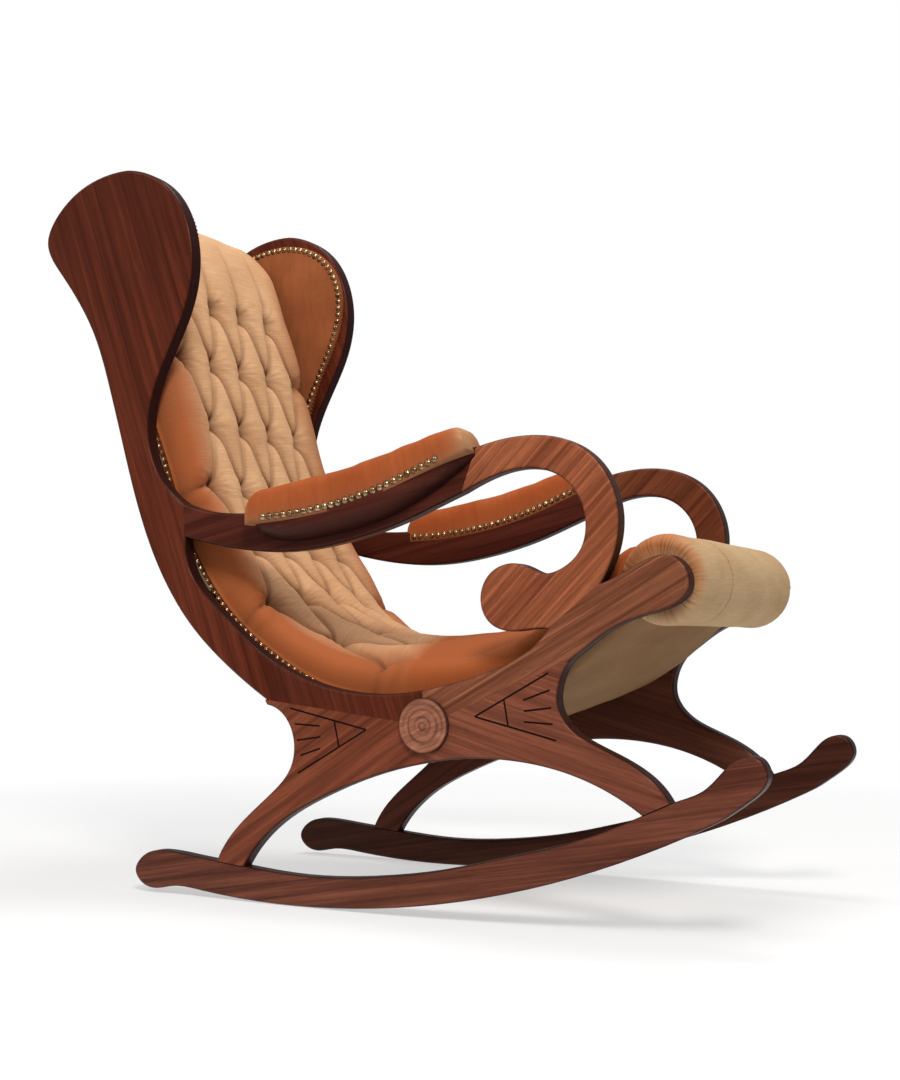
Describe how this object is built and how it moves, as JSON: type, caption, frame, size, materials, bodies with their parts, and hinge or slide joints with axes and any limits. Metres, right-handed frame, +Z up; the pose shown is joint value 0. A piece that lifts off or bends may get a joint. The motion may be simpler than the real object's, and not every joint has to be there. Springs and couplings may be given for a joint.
{
  "type": "rocking chair",
  "caption": "Wing-back rocking chair: shaped mahogany side panels on curved rockers, scroll arms with padded tops, deep-buttoned velvet sling seat ending in a front roll.",
  "frame": {"origin": "on the floor, at the centre of the chair's footprint", "axes": "+X towards the sitter's feet (the front), +Y to the sitter's left, +Z up"},
  "size_m": [1.161, 0.5352, 1.1013],
  "materials": {
    "mahogany": "satin polish",
    "tan_velvet": "velvet",
    "orange_velvet": "velvet",
    "khaki_velvet": "velvet",
    "cover_cloth": "woven",
    "antique_brass": "antique",
    "frame_beech": "raw",
    "jute_webbing": "woven"
  },
  "bodies": {
    "root": {"arm_left": "mahogany", "arm_right": "mahogany", "arm_scroll_left": "mahogany", "arm_scroll_right": "mahogany", "back_stile_left": "mahogany", "back_stile_right": "mahogany", "front_leg_left": "mahogany", "front_leg_right": "mahogany", "rear_leg_left": "mahogany", "rear_leg_right": "mahogany", "rocker_left": "mahogany", "rocker_right": "mahogany", "roundel_left": "mahogany", "roundel_right": "mahogany", "seat_rail_left": "mahogany", "seat_rail_right": "mahogany", "buttoned_squab": "tan_velvet", "squab_buttons": "tan_velvet", "arm_pad_left": "orange_velvet", "arm_pad_right": "orange_velvet", "wing_lining_left": "orange_velvet", "wing_lining_right": "orange_velvet", "front_roll": "khaki_velvet", "outer_back_cover": "cover_cloth", "underside_cover": "cover_cloth", "arm_pad_nails_left": "antique_brass", "arm_pad_nails_right": "antique_brass", "squab_nails_left": "antique_brass", "squab_nails_right": "antique_brass", "wing_nails_left": "antique_brass", "wing_nails_right": "antique_brass", "front_roll_bar": "frame_beech", "front_seat_rail": "frame_beech", "lower_back_rail": "frame_beech", "middle_seat_rail": "frame_beech", "plank_dowels_left": "frame_beech", "plank_dowels_right": "frame_beech", "rail_dowels": "frame_beech", "rear_seat_rail": "frame_beech", "tacking_battens_left": "frame_beech", "tacking_battens_right": "frame_beech", "top_rail": "frame_beech", "upper_back_rail": "frame_beech", "back_webbing": "jute_webbing", "seat_webbing": "jute_webbing"}
  },
  "joints": []
}
